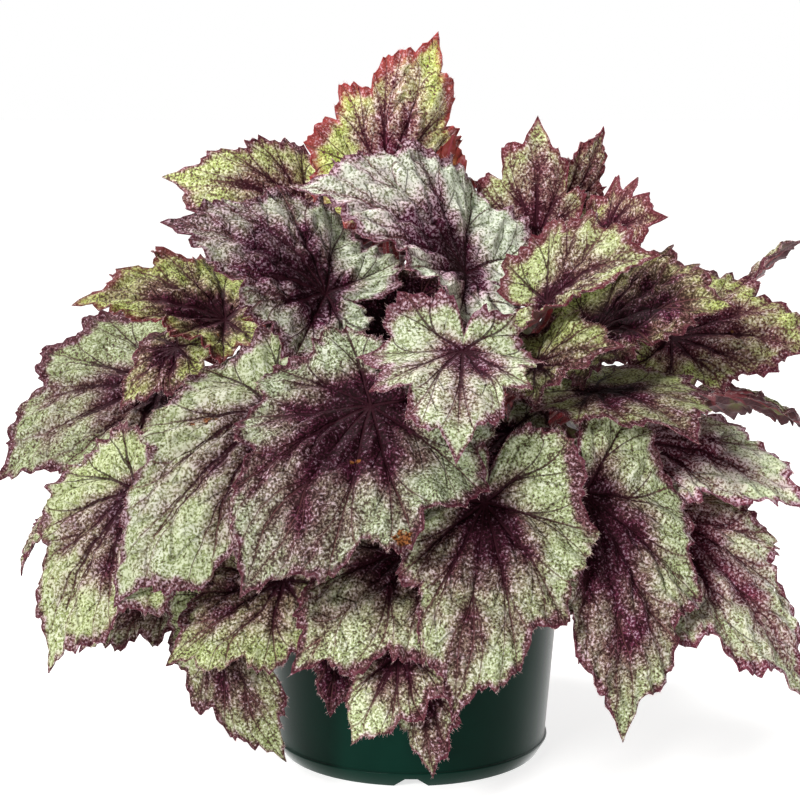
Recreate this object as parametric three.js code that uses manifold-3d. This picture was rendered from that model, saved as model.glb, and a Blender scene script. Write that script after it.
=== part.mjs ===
// Potted rex begonia: a mound of large lobed leaves on dark red stalks, which grow from a
// creeping rhizome in the potting mix of a dark green plastic nursery pot.
// Millimetres, +Z up. The origin is the middle of the pot's underside, and -Y is the front.

import * as THREE from 'three';
import { mergeVertices } from 'three/addons/utils/BufferGeometryUtils.js';
import Module from 'manifold-3d';

const wasm = await Module();
wasm.setup();

// ---------------------------------------------------------------- driving dimensions

// Pot: a round nursery pot, 152 mm across its rim.
const POT_HEIGHT = 113;
const RIM_RADIUS = 76;
const RIM_BAND = 14;
const WALL_TOP_RADIUS = 71.5;
const BAND_RADIUS = 64.8;
const BAND_HEIGHT = 7.2;
const FOOT_RADIUS = 61;
const POT_WALL = 1.5;
const RIM_WALL = 2.6;
const RIM_EDGE = 1.2;
const FOOT_RING = 2.5;
const FLOOR_HEIGHT = 4.2;
const PAD_RADIUS = 20;
const PAD_SLOPE = 3;
const POT_SIDES = 30;
const DRAIN_RADIUS = 4.5;
const DRAIN_CIRCLE = 41;
const DRAIN_COUNT = 8;
const DRAIN_SIDES = 8;
const NOTCH_WIDTH = 12;
const NOTCH_HEIGHT = 4.1;
const NOTCH_SLOPE = 3.2;
const NOTCH_COUNT = 4;
const CUT_THROUGH = 20;

// Potting mix and the rhizome that lies half sunk in it.
const GAP = 0.3;
const SOIL_HEIGHT = 96;
const SOIL_CROWN = 3;
const SOIL_RINGS = 3;
const SOIL_SIDES = 18;
const SOIL_LUMP = 1.6;
const TROUGH_GAP = 0.6;
const RHIZOME_RADIUS = 8;
const RHIZOME_SIDES = 7;
const RHIZOME_STEPS = 8;
const RHIZOME_LENGTH = 72;
const RHIZOME_TIP = 1.12;
const RHIZOME_ROUTE = [
  [-36, 7, 97],
  [-20, -3, 99],
  [0, 4, 98],
  [19, -4, 100],
  [36, 5, 98],
];

// Leaf stalks.
const STALK_RADIUS = 1.6;
const STALK_SIDES = 4;
const STALK_STEPS = 4;
const ROOT_SPREAD = 0.3;
const ROOT_REACH = 31;
const CLIMB_LEAN = 0.1;
const CLIMB_SHARE = 0.72;
const LEAST_RISE = 30;
const RIM_LEVEL = 132;
const OVER_RIM = 178;
const STEEPEST = -0.5;
const STALK_SEAT = 2.45;

// Leaf blades. The main veins run from the stalk's end to the margin. Each row has a vein's
// angle from the midrib in degrees, and its length as a share of the blade's length.
const BLADE = 0.9;
const BROAD_HALF = [[0, 1], [22, 0.79], [47, 0.7], [84, 0.61], [130, 0.52]];
const NARROW_HALF = [[0, 1], [22, 0.68], [46, 0.56], [84, 0.47], [132, 0.39]];
const SINUS = 0.12;
const SINUS_ANGLE = 180;
const LOBE_ROUNDNESS = 2.6;
const NOTCH_AT = 1 / 3;
const TOOTH_AT = 2 / 3;
const TOOTH_SHARE = 0.35;
const TIP_SHARE = 0.5;
const MID_RING = 0.6;
const INNER_RING = 0.26;
const PLEAT = 0.035;
const FOLD_SOFTNESS = 0.22;
const WAVES = 4;

// ---------------------------------------------------------------- helpers

const vec = ([x, y, z]) => new THREE.Vector3(x, y, z);
const radians = THREE.MathUtils.degToRad;
const lerp = THREE.MathUtils.lerp;

// A steady number from 0 to 1 for each pair of whole numbers.
function vary(a, b) {
  const wild = Math.sin(a * 127.1 + b * 311.7) * 43758.5453;
  return wild - Math.floor(wild);
}

function toSolid(geometry) {
  const plain = geometry.clone();
  plain.deleteAttribute('normal');
  plain.deleteAttribute('uv');
  const merged = mergeVertices(plain, 1e-4);
  return new wasm.Manifold(new wasm.Mesh({
    numProp: 3,
    vertProperties: new Float32Array(merged.attributes.position.array),
    triVerts: new Uint32Array(merged.index.array),
  }));
}

function toGeometry(solid) {
  const mesh = solid.getMesh();
  const geometry = new THREE.BufferGeometry();
  geometry.setAttribute('position', new THREE.BufferAttribute(mesh.vertProperties, 3));
  geometry.setIndex(new THREE.BufferAttribute(mesh.triVerts, 1));
  geometry.computeVertexNormals();
  return geometry;
}

function material(color, roughness, metalness = 0) {
  return new THREE.MeshStandardMaterial({ color, roughness, metalness });
}

const finish = {
  pot: material(0x17332d, 0.35),
  soil: material(0x2b1f17, 1),
  stalk: material(0x6a1d24, 0.55),
  blade: material(0x6f8a52, 0.6),
};

// ---------------------------------------------------------------- pot

// The pot's inner face from the middle of the floor to the rim, as [radius, height].
function potInside() {
  const floor = FLOOR_HEIGHT + POT_WALL;
  return [
    [0, POT_WALL],
    [PAD_RADIUS + 1, POT_WALL],
    [PAD_RADIUS + PAD_SLOPE + 1, floor],
    [FOOT_RADIUS - POT_WALL, floor],
    [BAND_RADIUS - POT_WALL - 0.6, BAND_HEIGHT + POT_WALL],
    [WALL_TOP_RADIUS - POT_WALL, POT_HEIGHT - RIM_BAND],
    [RIM_RADIUS - RIM_WALL, POT_HEIGHT - RIM_EDGE],
  ];
}

function potOutside() {
  return [
    [RIM_RADIUS - 1, POT_HEIGHT],
    [RIM_RADIUS, POT_HEIGHT - RIM_EDGE],
    [RIM_RADIUS - 0.7, POT_HEIGHT - RIM_BAND],
    [WALL_TOP_RADIUS, POT_HEIGHT - RIM_BAND - 1],
    [BAND_RADIUS - 0.5, BAND_HEIGHT + 0.6],
    [BAND_RADIUS, BAND_HEIGHT],
    [FOOT_RADIUS, 0],
    [FOOT_RADIUS - FOOT_RING, 0],
    [FOOT_RADIUS - FOOT_RING - 0.5, FLOOR_HEIGHT],
    [PAD_RADIUS + PAD_SLOPE, FLOOR_HEIGHT],
    [PAD_RADIUS, 0],
    [0, 0],
  ];
}

function lathe(profile, sides) {
  const points = profile.map(([radius, height]) => new THREE.Vector2(radius, height));
  const geometry = new THREE.LatheGeometry(points, sides);
  geometry.rotateX(Math.PI / 2);
  return toSolid(geometry);
}

function drainHoles() {
  const cutters = [];
  for (let i = 0; i < DRAIN_COUNT; i += 1) {
    const angle = ((i + 0.5) / DRAIN_COUNT) * 2 * Math.PI;
    const cutter = new THREE.CylinderGeometry(DRAIN_RADIUS, DRAIN_RADIUS, CUT_THROUGH, DRAIN_SIDES);
    cutter.rotateX(Math.PI / 2);
    cutter.translate(DRAIN_CIRCLE * Math.cos(angle), DRAIN_CIRCLE * Math.sin(angle), FLOOR_HEIGHT);
    cutters.push(toSolid(cutter));
  }
  return cutters;
}

// Trapezoid gaps in the foot, which let water out from under the floor.
function footNotches() {
  const half = NOTCH_WIDTH / 2;
  const outline = new THREE.Shape();
  outline.moveTo(-half - NOTCH_SLOPE, -1);
  outline.lineTo(half + NOTCH_SLOPE, -1);
  outline.lineTo(half - NOTCH_SLOPE, NOTCH_HEIGHT);
  outline.lineTo(-half + NOTCH_SLOPE, NOTCH_HEIGHT);
  outline.closePath();
  const cutters = [];
  for (let i = 0; i < NOTCH_COUNT; i += 1) {
    const cutter = new THREE.ExtrudeGeometry(outline, { depth: CUT_THROUGH, bevelEnabled: false });
    cutter.rotateX(Math.PI / 2);
    cutter.translate(0, CUT_THROUGH / 2 - FOOT_RADIUS, 0);
    cutter.rotateZ((i / NOTCH_COUNT) * 2 * Math.PI);
    cutters.push(toSolid(cutter));
  }
  return cutters;
}

function buildPot() {
  let solid = lathe([...potInside(), ...potOutside()].reverse(), POT_SIDES);
  for (const cutter of [...drainHoles(), ...footNotches()]) {
    solid = solid.subtract(cutter);
  }
  return toGeometry(solid);
}

// ---------------------------------------------------------------- rhizome and soil

const rhizomeRoute = new THREE.CatmullRomCurve3(RHIZOME_ROUTE.map(vec));

function circle(radius, sides) {
  const shape = new THREE.Shape();
  for (let i = 0; i < sides; i += 1) {
    const angle = (i / sides) * 2 * Math.PI;
    const x = radius * Math.cos(angle);
    const y = radius * Math.sin(angle);
    if (i === 0) shape.moveTo(x, y);
    else shape.lineTo(x, y);
  }
  shape.closePath();
  return shape;
}

function tube(route, radius, sides, steps) {
  const options = { steps, bevelEnabled: false, extrudePath: route };
  return toSolid(new THREE.ExtrudeGeometry(circle(radius, sides), options));
}

// The rhizome is a thick tube with a blunt growing tip at each end.
function rhizomeSolid(radius) {
  let solid = tube(rhizomeRoute, radius, RHIZOME_SIDES, RHIZOME_STEPS);
  for (const end of [0, 1]) {
    const tip = new THREE.IcosahedronGeometry(radius * RHIZOME_TIP, 1);
    tip.translate(...rhizomeRoute.getPoint(end));
    solid = solid.add(toSolid(tip));
  }
  return solid;
}

// The mix fills the pot up to a lumpy top, with a trough that holds the rhizome.
function buildSoil() {
  const inside = potInside().map(([radius, height]) => [Math.max(radius - GAP, 0), height + GAP]);
  const wall = inside.filter(([, height]) => height < SOIL_HEIGHT);
  const [bandRadius, bandHeight] = wall[wall.length - 1];
  const [topRadius, topHeight] = inside[wall.length];
  const share = (SOIL_HEIGHT - bandHeight) / (topHeight - bandHeight);
  const edge = lerp(bandRadius, topRadius, share) - 0.2;
  const top = [];
  for (let i = 0; i <= SOIL_RINGS; i += 1) {
    const radius = edge * (1 - i / SOIL_RINGS);
    top.push([radius, SOIL_HEIGHT + SOIL_CROWN * Math.sin((Math.PI / 2) * (i / SOIL_RINGS))]);
  }
  const points = [...wall, ...top].map(([radius, height]) => new THREE.Vector2(radius, height));
  const geometry = new THREE.LatheGeometry(points, SOIL_SIDES);
  geometry.rotateX(Math.PI / 2);
  const place = geometry.attributes.position;
  for (let i = 0; i < place.count; i += 1) {
    const x = place.getX(i);
    const y = place.getY(i);
    const z = place.getZ(i);
    if (z > SOIL_HEIGHT + 0.1) {
      place.setZ(i, z + SOIL_LUMP * Math.sin(x * 0.31 + 1) * Math.cos(y * 0.27 - 2));
    }
  }
  return toGeometry(toSolid(geometry).subtract(rhizomeSolid(RHIZOME_RADIUS + TROUGH_GAP)));
}

// ---------------------------------------------------------------- leaf blades

// Each leaf has the point where its stalk ends, the point of its tip, and the way that its
// upper face looks. Its other values have these defaults:
//   width   the blade's width against its length
//   hand    1 with the broad half on the left, seen from above with the tip ahead, or -1
//   arch    height of the midrib's arch
//   base    how far the lobes behind the stalk turn up
//   left, right   how far the halves turn up, or down if negative
//   wave    height of the margin's waves
//   lobe    depth of the notches between the lobes
//   bend    how far behind and below the blade its stalk bends over, in shares of its length
const plainForm = {
  width: 1,
  hand: 1,
  arch: 0.1,
  base: 0.7,
  left: -0.1,
  right: -0.1,
  wave: 0.03,
  lobe: 0.16,
  bend: [0.2, 0.35],
};
const leaves = [];

function leaf(junction, tip, face, form = {}) {
  const number = String(leaves.length + 1).padStart(2, '0');
  leaves.push({ name: `leaf_${number}`, junction, tip, face, ...plainForm, ...form });
}

// Front of the mound.
leaf([30, -118, 143], [16, -150, 60], [0.1, -0.9, 0.35], { width: 0.86, left: 0.15 });
leaf([73, -99, 143], [89, -127, 44], [0.4, -0.85, 0.35], { width: 0.78, base: -0.2 });
leaf([-17, -114, 183], [-69, -152, 113], [-0.1, -0.8, 0.6], { width: 1.05, base: -0.1, bend: [0.7, 0.1] });
leaf([-56, -88, 177], [-126, -113, 99], [-0.4, -0.8, 0.45], { left: -0.55, base: 0.1, width: 0.9 });
leaf([21, -108, 205], [17, -160, 169], [0, -0.75, 0.65], { width: 1.1, hand: -1, lobe: 0.25, base: 1.6 });
leaf([-119, -73, 139], [-156, -94, 64], [-0.5, -0.75, 0.4], { width: 1.05, base: 0.2 });
leaf([-114, -9, 174], [-190, -21, 133], [-0.35, -0.65, 0.6], { width: 1.15, hand: -1, left: 0, base: 0.4 });
leaf([-83, -33, 208], [-148, -45, 218], [-0.3, -0.6, 0.75], {
  width: 1.1, hand: -1, lobe: 0.25, left: 0.4, right: -0.2,
});
leaf([-37, -60, 223], [-106, -66, 255], [-0.2, -0.5, 0.8], { width: 1.15, hand: -1, left: -0.2 });
leaf([-50, 14, 256], [-113, 4, 270], [-0.3, -0.8, 0.5]);
leaf([24, -50, 231], [-49, -72, 272], [-0.1, -0.45, 0.85], { hand: -1, right: 0.4, base: 0.3 });

// Crown of the mound.
leaf([-11, 5, 267], [12, 5, 334], [0.1, -0.95, 0.1], { width: 0.95, right: -0.9, lobe: 0.18 });
leaf([10, -14, 252], [19, -10, 289], [0, 0.95, 0.2], { width: 0.8 });
leaf([57, -5, 239], [58, 5, 296], [0, -0.9, 0.2], { lobe: 0.25, width: 0.95 });
leaf([71, 35, 249], [92, 40, 290], [0.5, -0.8, 0.2], { width: 0.7 });
leaf([89, -8, 244], [113, -38, 254], [0.3, -0.8, 0.3], { lobe: 0.25, width: 1.1, bend: [0.1, 0.6] });

// Right side of the front.
leaf([58, -68, 220], [103, -91, 242], [-0.1, -0.6, 0.75], { left: 0.2, right: 0.75, width: 1.2 });
leaf([82, -41, 204], [136, -76, 220], [0.1, -0.7, 0.7], { width: 1.15, right: 0.1 });
leaf([79, -62, 180], [117, -118, 167], [0.2, -0.5, 0.85], { width: 1.1, base: 0.2 });
leaf([52, -92, 196], [86, -112, 208], [0.1, -0.7, 0.7]);
leaf([120, -6, 196], [186, -18, 191], [0.3, -0.7, 0.7], { width: 1.15 });
leaf([158, 58, 206], [195, 62, 235], [0.3, 0.2, 0.9]);
leaf([131, 17, 168], [193, 19, 147], [0.3, 0.2, 0.9], { width: 0.8, left: -0.6 });
leaf([100, -36, 154], [176, -56, 125], [0.4, -0.7, 0.6], { left: -0.6, right: 0.35, base: 0.1 });
leaf([111, -54, 123], [171, -84, 49], [0.6, -0.7, 0.3], { hand: -1, width: 0.95, base: -0.3 });
leaf([42, -67, 163], [42, -91, 126], [0.1, -0.9, 0.3], { base: 0.2, width: 0.9 });

// Foot of the front, hanging over the pot.
leaf([1, -90, 117], [-50, -118, 70], [-0.2, -0.85, 0.4]);
leaf([-5, -104, 75], [-25, -117, 39], [-0.1, -0.9, 0.3]);
leaf([3, -101, 62], [9, -107, 21], [0, -0.95, 0.2], { width: 0.7 });
leaf([-31, -90, 80], [-35, -95, 44], [-0.1, -0.95, 0.2], { width: 0.75 });
leaf([-82, -75, 86], [-56, -90, 22], [-0.5, -0.8, 0.3], { hand: -1, left: -0.4, width: 0.8, base: 0.1 });
leaf([-55, -85, 102], [-104, -102, 69], [-0.3, -0.85, 0.4]);
leaf([-108, -35, 93], [-149, -48, 59], [-0.4, -0.6, 0.5]);
leaf([-160, 0, 118], [-184, -5, 85], [-0.9, -0.2, 0.3], { width: 0.8 });
leaf([-106, -22, 194], [-131, -31, 167], [-0.5, -0.6, 0.4], { width: 1.05 });
leaf([-10, -34, 202], [16, -24, 230], [0, -0.95, 0.2], { width: 1.15 });

// The back and the sides are tiers of leaves round the mound. A tier has its first and last
// azimuth, the radius and height of its stalk ends and of its tips, and how far it leans out.
const TIERS = [
  { count: 6, from: 22, to: 152, junction: [98, 115], tip: [156, 51], out: 0.8, shift: 14, base: 0 },
  { count: 5, from: 46, to: 150, junction: [92, 178], tip: [146, 112], out: 0.7, shift: 14, base: 0.2 },
  { count: 3, from: 66, to: 138, junction: [70, 227], tip: [126, 181], out: 0.65, shift: 12, base: 0.2 },
  { count: 2, from: 50, to: 100, junction: [40, 246], tip: [94, 252], out: 0.3, shift: 9, base: 0.2 },
];

const TIER_STRAY = 8;
const TIP_STRAY = 10;
const TIER_WIDTH = 0.82;

function tierPoint([radius, height], azimuth, { out }, shift) {
  const angle = radians(azimuth);
  const reach = radius + shift * out;
  return [reach * Math.cos(angle), reach * Math.sin(angle), height + shift * (1 - out)];
}

TIERS.forEach((tier, t) => {
  for (let i = 0; i < tier.count; i += 1) {
    const azimuth = lerp(tier.from, tier.to, i / (tier.count - 1)) + TIER_STRAY * (vary(t, i) - 0.5);
    const shift = i % 2 ? tier.shift : -tier.shift;
    const outward = radians(azimuth);
    const face = [tier.out * Math.cos(outward), tier.out * Math.sin(outward), 1 - tier.out];
    const hand = i % 2 ? 1 : -1;
    leaf(
      tierPoint(tier.junction, azimuth, tier, shift),
      tierPoint(tier.tip, azimuth + TIP_STRAY * (vary(t, i + 9) - 0.5), tier, shift),
      face,
      { hand, width: TIER_WIDTH, base: tier.base },
    );
  }
});

// Two more leaves close the right side, between the tiers.
leaf([94, 40, 142], [142, 62, 84], [0.7, 0.3, 0.5], { width: 0.9 });
leaf([72, 42, 216], [116, 62, 184], [0.5, 0.25, 0.65], { width: 0.9 });

// The blade's own axes: along the midrib to the tip, across to the left, and up.
function bladeFrame({ junction, tip, face }) {
  const origin = vec(junction);
  const along = vec(tip).sub(origin);
  const length = along.length();
  along.normalize();
  const up = vec(face);
  up.addScaledVector(along, -up.dot(along)).normalize();
  const across = new THREE.Vector3().crossVectors(up, along);
  return { origin, along, across, up, length };
}

// Angle and reach of the margin, a share u of the way from one main vein to the next. The
// margin has a notch and a tooth between each two lobes, with the teeth towards the tip.
function marginAt(half, sector, u, lobe) {
  const [startAngle, start] = half[sector];
  const last = sector === half.length - 1;
  const [endAngle, end] = last ? [SINUS_ANGLE, SINUS] : half[sector + 1];
  const dip = u < NOTCH_AT ? u / NOTCH_AT : lerp(1, 0, (u - NOTCH_AT) / (1 - NOTCH_AT));
  const tooth = u === TOOTH_AT ? TOOTH_SHARE * 0.5 : 0;
  const base = lerp(start, end, last ? u ** LOBE_ROUNDNESS : u);
  const depth = sector === 0 ? lobe * TIP_SHARE : lobe;
  return [lerp(startAngle, endAngle, u), base * (1 - depth * (dip - tooth))];
}

// Height of the blade over its own plane, in shares of its length. x runs along the midrib
// and y across it, and ring is 0 at the stalk and 1 at the margin.
function bladeHeight(form, x, y, ring, u, angle) {
  const arch = 4 * form.arch * Math.max(x, 0) * (1 - x);
  const base = form.base * Math.min(x, 0) ** 2;
  const turn = (y > 0 ? form.left : form.right) * y * y / (FOLD_SOFTNESS + Math.abs(y));
  const calm = 1 - (angle / Math.PI) ** 4;
  const wave = form.wave * calm * ring ** 3 * Math.sin(WAVES * angle + form.phase);
  const pleat = PLEAT * ring * (1 - 0.35 * ring) * Math.sin(Math.PI * u);
  return arch + base + turn + wave + pleat;
}

function bladePoint(form, frame, side, sector, u, ring) {
  const half = side === form.hand ? BROAD_HALF : NARROW_HALF;
  const [degrees, reach] = marginAt(half, sector, u, form.lobe);
  const angle = side * radians(degrees);
  const x = ring * reach * Math.cos(angle);
  const y = ring * reach * Math.sin(angle) * form.width;
  const height = bladeHeight(form, x, y, ring, u, angle);
  return frame.origin.clone()
    .addScaledVector(frame.along, x * frame.length)
    .addScaledVector(frame.across, y * frame.length)
    .addScaledVector(frame.up, height * frame.length);
}

// The stations of one ring of the blade, from the sinus round by the right to the left.
function ringStations(shares) {
  const stations = [{ side: -1, sector: 4, u: 1 }];
  for (let sector = 4; sector >= 0; sector -= 1) {
    for (const u of [...shares].reverse()) stations.push({ side: -1, sector, u });
  }
  for (let sector = 0; sector < 5; sector += 1) {
    for (const u of shares) {
      if (sector > 0 || u > 0) stations.push({ side: 1, sector, u });
    }
  }
  return stations;
}

// The rings from the margin inwards, and the triangles of one sector between them.
const RINGS = [
  { ring: 1, shares: [0, NOTCH_AT, TOOTH_AT] },
  { ring: MID_RING, shares: [0, 0.5] },
  { ring: INNER_RING, shares: [0] },
];
const SECTORS = 10;

function buildBlade(form) {
  const frame = bladeFrame(form);
  const points = [];
  const starts = [];
  for (const { ring, shares } of RINGS) {
    starts.push(points.length);
    for (const { side, sector, u } of ringStations(shares)) {
      points.push(bladePoint(form, frame, side, sector, u, ring));
    }
  }
  const centre = points.length;
  points.push(frame.origin.clone());

  const outer = (i) => starts[0] + (i % (SECTORS * 3));
  const middle = (i) => starts[1] + (i % (SECTORS * 2));
  const inner = (i) => starts[2] + (i % SECTORS);
  const faces = [];
  for (let s = 0; s < SECTORS; s += 1) {
    const [o, m] = [s * 3, s * 2];
    faces.push([middle(m), outer(o), outer(o + 1)]);
    faces.push([middle(m), outer(o + 1), middle(m + 1)]);
    faces.push([middle(m + 1), outer(o + 1), outer(o + 2)]);
    faces.push([middle(m + 1), outer(o + 2), middle(m + 2)]);
    faces.push([middle(m + 2), outer(o + 2), outer(o + 3)]);
    faces.push([inner(s), middle(m), middle(m + 1)]);
    faces.push([inner(s), middle(m + 1), inner(s + 1)]);
    faces.push([inner(s + 1), middle(m + 1), middle(m + 2)]);
    faces.push([centre, inner(s), inner(s + 1)]);
  }
  return thicken(points, faces, SECTORS * 3);
}

// Gives a sheet its thickness: the lower face is the upper one moved along its normals, with
// the same triangles, and a strip joins their rims.
function thicken(points, faces, rimCount) {
  const sheet = new THREE.BufferGeometry().setFromPoints(points);
  sheet.setIndex(faces.flat());
  sheet.computeVertexNormals();
  const normal = new THREE.Vector3();
  const lower = points.map((point, i) => {
    normal.fromBufferAttribute(sheet.attributes.normal, i);
    return point.clone().addScaledVector(normal, -BLADE);
  });
  const count = points.length;
  const all = [...faces];
  for (const [a, b, c] of faces) all.push([a + count, c + count, b + count]);
  for (let i = 0; i < rimCount; i += 1) {
    const next = (i + 1) % rimCount;
    all.push([i, i + count, next + count]);
    all.push([i, next + count, next]);
  }
  const geometry = new THREE.BufferGeometry().setFromPoints([...points, ...lower]);
  geometry.setIndex(all.flat());
  geometry.computeVertexNormals();
  return geometry;
}

// ---------------------------------------------------------------- stalks

// A stalk grows up from the rhizome, arches over and ends just under its blade, where it
// comes in along the sinus.
function stalkRoute(form) {
  const frame = bladeFrame(form);
  const [x, y, z] = form.junction;
  const share = 0.5 + THREE.MathUtils.clamp(x * ROOT_SPREAD, -ROOT_REACH, ROOT_REACH) / RHIZOME_LENGTH;
  const root = rhizomeRoute.getPoint(share);
  const rise = Math.max(z - root.z, LEAST_RISE);
  const climb = root.clone();
  climb.add(new THREE.Vector3(x * CLIMB_LEAN, y * CLIMB_LEAN, rise * CLIMB_SHARE));
  const end = frame.origin.clone().addScaledVector(frame.up, -STALK_SEAT);
  const bend = end.clone();
  if (z < RIM_LEVEL) {
    bend.addScaledVector(frame.along, (OVER_RIM - z) / Math.min(frame.along.z, STEEPEST));
  } else {
    bend.addScaledVector(frame.along, -form.bend[0] * frame.length);
    bend.addScaledVector(frame.up, -form.bend[1] * frame.length);
  }
  return new THREE.CubicBezierCurve3(root, climb, bend, end);
}

function buildStems() {
  let solid = rhizomeSolid(RHIZOME_RADIUS);
  for (const form of leaves) {
    solid = solid.add(tube(stalkRoute(form), STALK_RADIUS, STALK_SIDES, STALK_STEPS));
  }
  return toGeometry(solid);
}

// ---------------------------------------------------------------- assembly

const plant = new THREE.Group();

function place(name, geometry, look) {
  const mesh = new THREE.Mesh(geometry, look);
  mesh.name = name;
  plant.add(mesh);
}

place('pot', buildPot(), finish.pot);
place('soil', buildSoil(), finish.soil);
leaves.forEach((form, i) => {
  form.phase = 2 * Math.PI * vary(i + 1, 1);
  place(form.name, buildBlade(form), finish.blade);
});
place('stems', buildStems(), finish.stalk);

export default plant;
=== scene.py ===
"""Potted rex begonia: lobed, puckered leaves on dark red stalks in a dark green nursery pot.

Blender 4.5. Metres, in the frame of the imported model. The forms are worked out in
millimetres, as the solids are, and scaled where a mesh is made.
"""
import math

import bpy
import numpy as np
from mathutils import Euler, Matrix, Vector


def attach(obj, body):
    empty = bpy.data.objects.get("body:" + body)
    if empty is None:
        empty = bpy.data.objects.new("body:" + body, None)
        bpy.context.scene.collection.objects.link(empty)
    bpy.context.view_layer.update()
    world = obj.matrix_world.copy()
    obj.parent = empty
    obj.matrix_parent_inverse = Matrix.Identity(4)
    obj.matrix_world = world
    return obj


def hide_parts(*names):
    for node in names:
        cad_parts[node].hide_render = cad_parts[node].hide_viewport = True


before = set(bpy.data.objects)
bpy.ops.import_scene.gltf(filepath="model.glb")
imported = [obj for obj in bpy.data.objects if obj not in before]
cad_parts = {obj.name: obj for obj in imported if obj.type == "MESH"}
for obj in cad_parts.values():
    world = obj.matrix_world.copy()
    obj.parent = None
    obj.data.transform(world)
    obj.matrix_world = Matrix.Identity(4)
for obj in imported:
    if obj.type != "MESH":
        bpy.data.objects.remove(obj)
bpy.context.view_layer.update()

MM = 0.001
BODY = "root"
SHARP_FROM = 55
rng = np.random.default_rng(41)

# ---------------- driving dimensions (mm)

# Pot.
POT_HEIGHT = 113
RIM_RADIUS = 76
RIM_BAND = 14
RIM_WALL = 2.6
WALL_TOP_RADIUS = 71.5
BAND_RADIUS = 64.8
BAND_HEIGHT = 7.2
FOOT_RADIUS = 61
FOOT_RING = 2.5
POT_WALL = 1.5
FLOOR_HEIGHT = 4.2
PAD_RADIUS = 20
PAD_SLOPE = 3
POT_SIDES = 144
POT_SHARP_FROM = 35
DRAIN_RADIUS = 4.5
DRAIN_SIDES = 24
DRAIN_CIRCLE = 41
DRAIN_COUNT = 8
DRAIN_CUT = (-2, 12)
NOTCH_WIDTH = 12
NOTCH_HEIGHT = 4.1
NOTCH_SLOPE = 3.2
NOTCH_COUNT = 4
CUT_REACH = 10

# Potting mix and rhizome. RHIZOME_TIP is how far a whole share past an end would reach.
SOIL_HEIGHT = 96
SOIL_RADIUS = 69
SOIL_CROWN = 3
SOIL_LUMP = 1.6
SOIL_SIDES = 150
SOIL_RINGS = 44
CHIP_COUNT = 420
RHIZOME_RADIUS = 8
RHIZOME_LENGTH = 72
RHIZOME_TIP = 95
RHIZOME_SIDES = 28
RHIZOME_RINGS = 90
RHIZOME_ROUTE = [(-36, 7, 97), (-20, -3, 99), (0, 4, 98), (19, -4, 100), (36, 5, 98)]

# Stalks.
STALK_RADIUS = 1.6
ROOT_SPREAD = 0.3
ROOT_REACH = 31
CLIMB_LEAN = 0.1
CLIMB_SHARE = 0.72
LEAST_RISE = 30
RIM_LEVEL = 132
OVER_RIM = 178
STEEPEST = -0.5
STALK_SEAT = 2.1
STALK_SIDES = 10
STALK_STEPS = 26
STALK_HAIRS = 90
STALK_HAIR_RADIUS = 0.07
STALK_SEED = 499

# Blades. Each row of a half has a main vein's angle from the midrib in degrees, and its
# length as a share of the blade's length.
BLADE = 0.6
BROAD_HALF = [(0, 1), (22, 0.79), (47, 0.7), (84, 0.61), (130, 0.52)]
NARROW_HALF = [(0, 1), (22, 0.68), (46, 0.56), (84, 0.47), (132, 0.39)]
SINUS = 0.12
SINUS_ANGLE = 180
LOBE_ROUNDNESS = 2.6
NOTCH_AT = 1 / 3
TOOTH_AT = 2 / 3
TOOTH_SHARE = 0.35
TIP_SHARE = 0.5
PLEAT = 0.035
FOLD_SOFTNESS = 0.22
WAVES = 4
SECTORS = 2 * len(BROAD_HALF)
VEIN_SPACING = 0.15
FORK_AT = (0.3, 0.25)
FORK_SPREAD = 0.34
BLADE_RINGS = 30
HALF_SECTOR = 0.15
COLUMN_WIDTH = 1.2
LEAST_COLUMNS = 10
MOST_COLUMNS = 26
TOOTH = 1.5
TOOTH_TO_LENGTH = 0.022
TOOTH_SEED = 100
HAIRS_PER_COLUMN = 2
HAIR_RADIUS = 0.08
RIB_HEIGHT = 0.7
RIB_WIDTH = 1.2
HUB_THICKNESS = 1.2

# The puckers' heights, on a blade at least as long as FULL_RELIEF_LENGTH.
FULL_RELIEF_LENGTH = 75
GROOVE = 0.5
QUILT = 2.4
CRUMPLE = 0.42
RUFFLE = 1.6
DIMPLE = 0.9
FULL_DIMPLE_LENGTH = 70

# Floor and camera: the floor's reach and the camera's place are in metres.
FLOOR_REACH = 8
LENS = 96.75
CAMERA_PLACE = (-0.005, -0.9863, 0.3311)
CAMERA_TILT = 80.5


def vary(a, b):
    """A steady number from 0 to 1 for each pair of numbers."""
    wild = math.sin(a * 127.1 + b * 311.7) * 43758.5453
    return wild - math.floor(wild)


def lerp(a, b, share):
    return a + (b - a) * share


def smooth(value, low, high):
    """0 below low, 1 above high, and a soft step between."""
    share = np.clip((value - low) / (high - low), 0, 1)
    return share * share * (3 - 2 * share)


def unit(vector):
    vector = np.asarray(vector, float)
    return vector / np.linalg.norm(vector, axis=-1, keepdims=True)


# Places of the larger dry spots on the blades, with their radii.
BLEMISHES = [
    ((-3.8, -157, 137), 4.2), ((-24.8, -134.7, 162.5), 1.5), ((-21.8, -134.3, 163.2), 1.1),
    ((-38.1, -121.5, 177.7), 1.2), ((29.5, -136.8, 116.9), 1.3), ((-87.2, -88.8, 171.5), 2.6),
    ((-92.7, -89.5, 169.9), 1.8), ((-82.6, -88.9, 172.4), 1.4), ((-100.2, -113.9, 127.8), 1.7),
    ((-105.5, -111.6, 126.4), 2.2),
]


# ---------------- the leaves

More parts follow.
